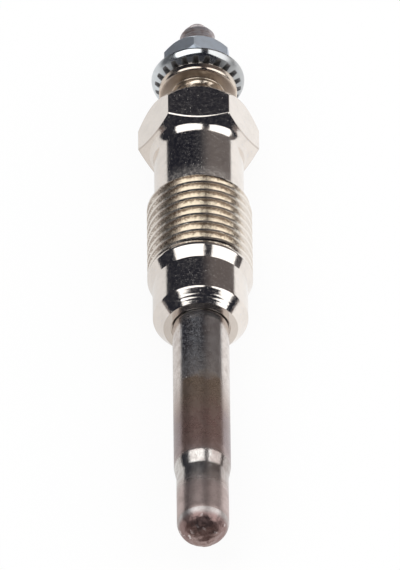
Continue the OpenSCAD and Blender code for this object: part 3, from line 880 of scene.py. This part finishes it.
class GLOWPLUG_OT_bush(Operator):
    """Turn the insulating bush between the body and the round nut"""

    bl_idname = "glowplug.bush"
    bl_label = "Insulating bush"

    def execute(self, context):
        s = context.scene.plug_terminal
        angles = even_angles(144)
        hole_r, neck_r = s.bush_hole / 2, s.bush_neck / 2
        outline = softened([
            [hole_r, (BUSH_FOOT + HUB_START) / 2], [hole_r, BUSH_FOOT], [neck_r, BUSH_FOOT],
            [neck_r, BODY_END], [BUSH_R, BODY_END], [BUSH_R, HUB_START], [hole_r, HUB_START],
            [hole_r, (BUSH_FOOT + HUB_START) / 2 + 0.1 * MM]],
            np.array([0.1, 0.15, 0.05, 0.15, 0.25, 0.1]) * MM)
        plastic = plain_finish("bush_plastic", s.bush_plastic, size=0.3 * MM, rough=0.32, metallic=0.0,
                               depth=0.01 * MM)
        turned_piece("bush", all_round(outline, len(angles)), angles, "insulating_bush",
                     plastic)
        return {"FINISHED"}


class GLOWPLUG_OT_round_nut(Operator):
    """Turn the round nut: hub with shallow dents, fillet, and flange with its rounded rim"""

    bl_idname = "glowplug.round_nut"
    bl_label = "Round nut"

    def execute(self, context):
        s = context.scene.plug_terminal
        angles = even_angles(192)
        bore_r, hub_r = s.engaged / 2, s.hub / 2
        middle, blend = (HUB_START + WASHER_START) / 2, 0.35 * MM
        foot = softened([[bore_r, middle], [bore_r, HUB_START], [hub_r, HUB_START],
                         [hub_r, HUB_START + blend]], 0.15 * MM, steps=9)
        places = np.linspace(HUB_START + 1.1 * blend, s.flange_start - 1.1 * blend, 32)
        flange = softened([[hub_r, s.flange_start - blend], [hub_r, s.flange_start],
                           [FLANGE_R, s.flange_start], [FLANGE_R, WASHER_START], [bore_r, WASHER_START],
                           [bore_r, middle + 0.1 * MM]],
                          [s.hub_fillet, 0.5 * MM, 0.15 * MM, 0.1 * MM], steps=9)
        hub = all_round(np.stack([np.full(len(places), hub_r), places], -1), len(angles))
        ends = np.clip(np.minimum(places - places[0], places[-1] - places) / blend, 0, 1)[:, None]
        dents = np.clip(0.5 + 0.4 * unevenness(in_space(hub, angles), size=1.2 * MM, seed=7), 0, 1)
        hub[..., 0] -= s.hub_dents * dents * ends
        rings = [all_round(foot, len(angles)), hub, all_round(flange, len(angles))]
        turned_piece("flanged_nut", np.concatenate(rings), angles, "round_nut",
                     warm_finish(s))
        return {"FINISHED"}


class GLOWPLUG_OT_nut_set(Operator):
    """Make the terminal nut with its swaged collar, and the toothed washer that it holds"""

    bl_idname = "glowplug.nut_set"
    bl_label = "Nut and toothed washer"

    def execute(self, context):
        s = context.scene.plug_terminal
        zinc = zinc_finish(s)
        self.nut(s, zinc)
        self.washer(s, zinc)
        return {"FINISHED"}

    def nut(self, s, zinc):
        """A hexagon whose corners are chamfered at both ends, over the collar and its lip."""
        corners = s.nut_flats / math.cos(math.pi / 6)
        angles = hexagon_angles(216, s.nut_flats, corners, s.nut_turn)
        columns = len(angles)
        out = hexagon_radius(angles, s.nut_flats, corners, s.nut_turn)
        flat_r, bore_r = s.nut_flats / 2, s.engaged / 2
        past = (out - flat_r) / (corners / 2 - flat_r)
        middle = (NUT_START + NUT_END) / 2
        lip_at, bore_edge = NUT_FOOT + s.lip_length, 0.3 * MM
        outline = softened(per_angle([
            [bore_r, middle], [bore_r, NUT_FOOT], [s.collar / 2, NUT_FOOT], [s.lip / 2, lip_at],
            [s.collar / 2, lip_at], [s.collar / 2, NUT_START], [flat_r - 0.05 * MM, NUT_START],
            [out, NUT_START + past * s.nut_chamfer + 0.06 * MM],
            [out, NUT_END - past * s.nut_far_chamfer - 0.12 * MM], [flat_r - 0.12 * MM, NUT_END],
            [bore_r + bore_edge, NUT_END], [bore_r, NUT_END - bore_edge], [bore_r, middle + 0.1 * MM]],
            columns), np.array([0.05, 0.08, 0.06, 0.03, 0.05, 0.08, 0.1, 0.1, 0.08, 0.08, 0.05]) * MM)
        turned_piece("hex_nut", outline, angles, "terminal_nut", zinc)

    def washer(self, s, zinc):
        """A dished ring whose outside is one round arc. The gaps between its teeth rise slowly over
        most of their width and fall steeply at the end, and their ceilings end on that arc."""
        angles = even_angles(s.teeth * 20)
        columns = len(angles)
        out_r = s.teeth_outer / 2
        in_r = out_r - s.teeth_width
        ring_r = (in_r + out_r) / 2
        step = 2 * math.pi / s.teeth
        along = ((angles - s.teeth_turn + step / 2) % step - step / 2) * ring_r
        width, lean = s.tooth_gap * step * ring_r, s.tooth_depth / 4
        rise = s.tooth_depth * np.clip(np.minimum((along + width / 2) / (width * s.tooth_slope),
                                                  (width / 2 - along) / lean), 0, 1)
        lip_at = NUT_START - s.washer_thick
        seat_r = s.lip_seat / 2
        rim, rim_r = WASHER_START + s.rim_height, WASHER_R - s.rim_round
        low, foot = WASHER_START + rise, -s.rim_turn
        foot_r, foot_at = rim_r + s.rim_round * math.cos(foot), rim + s.rim_round * math.sin(foot)
        edge_r = np.where(low < foot_at, np.interp(low, [WASHER_START, foot_at], [out_r, foot_r]),
                          rim_r + np.sqrt(np.maximum(s.rim_round ** 2 - (rim - low) ** 2, 0)))
        first = np.arcsin(np.clip((low + 0.04 * MM - rim) / s.rim_round, math.sin(foot), 0))
        bend = first * np.linspace(1, 0, 32)[:, None]
        round_side = np.stack([rim_r + s.rim_round * np.cos(bend), rim + s.rim_round * np.sin(bend)], -1)
        under = (seat_r - in_r) / (lip_at - WASHER_START)
        top = s.tooth_depth + 0.08 * MM
        hole_r, flat_r = s.washer_hole / 2, s.washer_flat / 2
        below = per_angle([[hole_r, lip_at], [seat_r, lip_at], [in_r + under * top, WASHER_START + top],
                           [in_r + under * rise, low], [edge_r, low]], columns)
        face = softened([[WASHER_R, rim + 0.01 * MM], [WASHER_R - s.rim_edge, rim + s.rim_edge],
                         [flat_r, NUT_START], [hole_r, NUT_START], [hole_r, (NUT_START + lip_at) / 2]],
                        [0.2 * MM, 0.15 * MM, 0.08 * MM])
        rings = np.concatenate([below, round_side, all_round(face, columns)])
        # The gap values also carry the painted shade that the finish lays in the gaps between the teeth.
        gap = np.zeros(rings.shape[:2])
        gap[2:len(below)] = np.clip(rise / s.tooth_depth, 0, 1)
        turned_piece("toothed_washer", rings, angles, "lock_washer", zinc,
                     values={"gap": gap}, crease=30)


class GLOWPLUG_OT_inner(Operator):
    """Give the sealed inner pieces their finishes"""

    bl_idname = "glowplug.inner"
    bl_label = "Inner pieces"

    def execute(self, context):
        s = context.scene.plug_inner
        drawn = {"size": 0.2 * MM, "rough": 0.3, "metallic": 1.0, "depth": 0.005 * MM}
        rubber = plain_finish("seal_rubber", s.rubber, size=0.25 * MM, rough=0.55, metallic=0.0,
                              depth=0.01 * MM)
        finishes = {
            "heating_coil": plain_finish("coil_wire", s.coil_wire, **drawn),
            "control_coil": plain_finish("control_wire", s.control_wire, **drawn),
            "magnesia_filling": plain_finish("magnesia", s.magnesia, size=0.15 * MM, rough=0.8,
                                             metallic=0.0, depth=0.02 * MM),
            "tube_seal": rubber,
            "seal_ring": rubber,
        }
        for node, finish in finishes.items():
            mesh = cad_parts[node].data
            mesh.materials.clear()
            mesh.materials.append(finish)
        return {"FINISHED"}


class GLOWPLUG_OT_stage(Operator):
    """Set the white table, the two soft panels, the room and the camera"""

    bl_idname = "glowplug.stage"
    bl_label = "Table, light and camera"

    def execute(self, context):
        s = context.scene.plug_stage
        context.scene.view_settings.view_transform = "Standard"
        self.table(s)
        self.flag(s)
        self.panel("panel_left", s, tilt=math.radians(-21.2), spread=math.radians(57.7), front=-0.75)
        self.panel("panel_right", s, tilt=math.radians(48.7), spread=math.radians(50.5), front=-0.8)
        self.room(context.scene, s)
        self.camera(context.scene, s)
        return {"FINISHED"}

    def material(self, name):
        """A new material that has no nodes yet, and a maker of its nodes."""
        made = bpy.data.materials.new(name)
        made.use_nodes = True
        made.node_tree.nodes.clear()
        return made, Nodes(made.node_tree)

    def glowing(self, name, rgb, strength):
        """A material that only gives off light."""
        material, nodes = self.material(name)
        light = nodes.node("ShaderNodeEmission", None, {"Color": rgb, "Strength": strength})
        nodes.node("ShaderNodeOutputMaterial", None, {"Surface": light}, None)
        return material

    def sheet(self, name, points, material):
        """A flat quad that is part of the stage."""
        mesh = bpy.data.meshes.new(name)
        mesh.from_pydata(points, [], [[0, 1, 2, 3]])
        mesh.materials.append(material)
        made = bpy.data.objects.new(name, mesh)
        bpy.context.scene.collection.objects.link(made)
        return made

    def table(self, s):
        """A wide matt sheet. The camera sees it mostly as even white, shiny metal as white that is a
        little darker on the left, and the rest of its look is lit, so that it keeps the shadow."""
        material, nodes = self.material("table")
        seen = {name: nodes.node("ShaderNodeLightPath", output=name)
                for name in ("Is Camera Ray", "Is Glossy Ray", "Is Transmission Ray")}
        direct = seen["Is Camera Ray"] + seen["Is Glossy Ray"] + seen["Is Transmission Ray"]
        lit = nodes.node("ShaderNodeBsdfDiffuse", None, {"Color": s.table})
        place = nodes.node("ShaderNodeTexCoord", output="Object")
        right = nodes.ease(nodes.part(place, 0), -6 * MM, 6 * MM)
        tone = nodes.blend(right, s.table_left, (1, 1, 1))
        tone = nodes.blend(seen["Is Camera Ray"], tone, (1, 1, 1))
        white = nodes.node("ShaderNodeEmission", None, {"Color": tone, "Strength": 1.0})
        mixed = nodes.node("ShaderNodeMixShader", None,
                           {0: (direct > 0.5) * (1 - s.shadow), 1: lit, 2: white})
        nodes.node("ShaderNodeOutputMaterial", None, {"Surface": mixed}, None)
        half = 3
        corners = [(x * half, y * half, 0) for x, y in ((-1, -1), (1, -1), (1, 1), (-1, 1))]
        self.sheet("table", corners, material)

    def flag(self, s):
        """A dark card on the table before the plug, which only shiny metal sees."""
        near, far, side, up = SEAT_Y - s.flag_reach, -0.9, 0.9, 0.05 * MM
        made = self.sheet("flag", [(-side, far, up), (side, far, up), (side, near, up), (-side, near, up)],
                          self.glowing("flag", s.flag, 1.0))
        made.visible_camera = made.visible_diffuse = made.visible_shadow = False

    def panel(self, name, s, tilt, spread, front, inner_front=-0.36, back=0.65):
        """A soft panel above the plug, turned about the plug's axis by tilt and as wide as spread
        seen from the plug. Its outer side reaches farther to the front. How far it reaches to the
        front and the back is counted in panel heights."""
        up = Vector((math.sin(tilt), 0, math.cos(tilt)))
        side = Vector((math.cos(tilt), 0, -math.sin(tilt))) * math.tan(spread / 2)
        outer = math.copysign(1, tilt)
        ends = ((-outer, inner_front), (outer, front), (outer, back), (-outer, back))
        points = [(up + side * across + Vector((0, along, 0))) * s.panel_height for across, along in ends]
        self.sheet(name, points, self.glowing(name, (1, 1, 1), s.panel_light)).visible_camera = False

    def room(self, scene, s):
        """White for the camera, a dark room that lightens to the right for shiny metal, and an even
        fill for matt surfaces."""
        world = bpy.data.worlds.new("room")
        world.use_nodes = True
        scene.world = world
        nodes = Nodes(world.node_tree)
        world.node_tree.nodes.clear()
        camera = nodes.node("ShaderNodeLightPath", output="Is Camera Ray")
        glossy = nodes.node("ShaderNodeLightPath", output="Is Glossy Ray")
        way = nodes.node("ShaderNodeTexCoord", output="Generated")
        right = nodes.ease(nodes.part(way, 0), -0.04, 0.46) * nodes.ease(nodes.part(way, 1), -0.1, 0.4)
        mirrored = nodes.blend(right, s.room_left, s.room_right)
        seen = nodes.blend(glossy, s.room_fill, mirrored)
        seen = nodes.blend(camera, seen, (1.0, 1.0, 1.0))
        light = nodes.node("ShaderNodeBackground", None, {"Color": seen, "Strength": 1.0})
        nodes.node("ShaderNodeOutputWorld", None, {"Surface": light}, None)

    def camera(self, scene, s):
        """A long lens from the tip's side, so that the plug's sides stay almost parallel."""
        data = bpy.data.cameras.new("camera")
        data.sensor_width = 36
        data.lens = data.sensor_width * s.camera_distance / s.view_height
        data.clip_end = 20
        camera = bpy.data.objects.new("camera", data)
        scene.collection.objects.link(camera)
        back = Vector((math.sin(s.camera_turn) * math.cos(s.camera_height),
                       -math.cos(s.camera_turn) * math.cos(s.camera_height), math.sin(s.camera_height)))
        aim = Vector((-0.03 * MM, SEAT_Y + 6.8 * MM, AXIS_Z))
        camera.location = aim + back * s.camera_distance
        camera.rotation_euler = back.to_track_quat("Z", "Y").to_euler()
        scene.camera = camera


class GLOWPLUG_PT_pieces(Panel):
    """The plug's pieces, each with a button that makes it."""

    bl_idname = "GLOWPLUG_PT_pieces"
    bl_label = "Glow plug"
    bl_space_type = "VIEW_3D"
    bl_region_type = "UI"
    bl_category = "Glow plug"

    def draw(self, context):
        for operator in OPERATORS:
            self.layout.operator(operator.bl_idname)


GROUPS = {"plug_body": BodySizes, "plug_tube": TubeSizes, "plug_terminal": TerminalSizes,
          "plug_inner": InnerLooks, "plug_stage": StageSettings}
OPERATORS = (GLOWPLUG_OT_body, GLOWPLUG_OT_tube, GLOWPLUG_OT_stud, GLOWPLUG_OT_bush,
             GLOWPLUG_OT_round_nut, GLOWPLUG_OT_nut_set, GLOWPLUG_OT_inner, GLOWPLUG_OT_stage)


def register():
    for made in (*GROUPS.values(), *OPERATORS, GLOWPLUG_PT_pieces):
        bpy.utils.register_class(made)
    for name, group in GROUPS.items():
        setattr(bpy.types.Scene, name, PointerProperty(type=group))


def unregister():
    for name in GROUPS:
        delattr(bpy.types.Scene, name)
    for made in (GLOWPLUG_PT_pieces, *reversed(OPERATORS), *reversed(GROUPS.values())):
        bpy.utils.unregister_class(made)


def main():
    """Makes every piece and the stage."""
    register()
    bpy.ops.glowplug.body()
    bpy.ops.glowplug.tube()
    bpy.ops.glowplug.stud()
    bpy.ops.glowplug.bush()
    bpy.ops.glowplug.round_nut()
    bpy.ops.glowplug.nut_set()
    bpy.ops.glowplug.inner()
    bpy.ops.glowplug.stage()


if __name__ == "__main__":
    main()
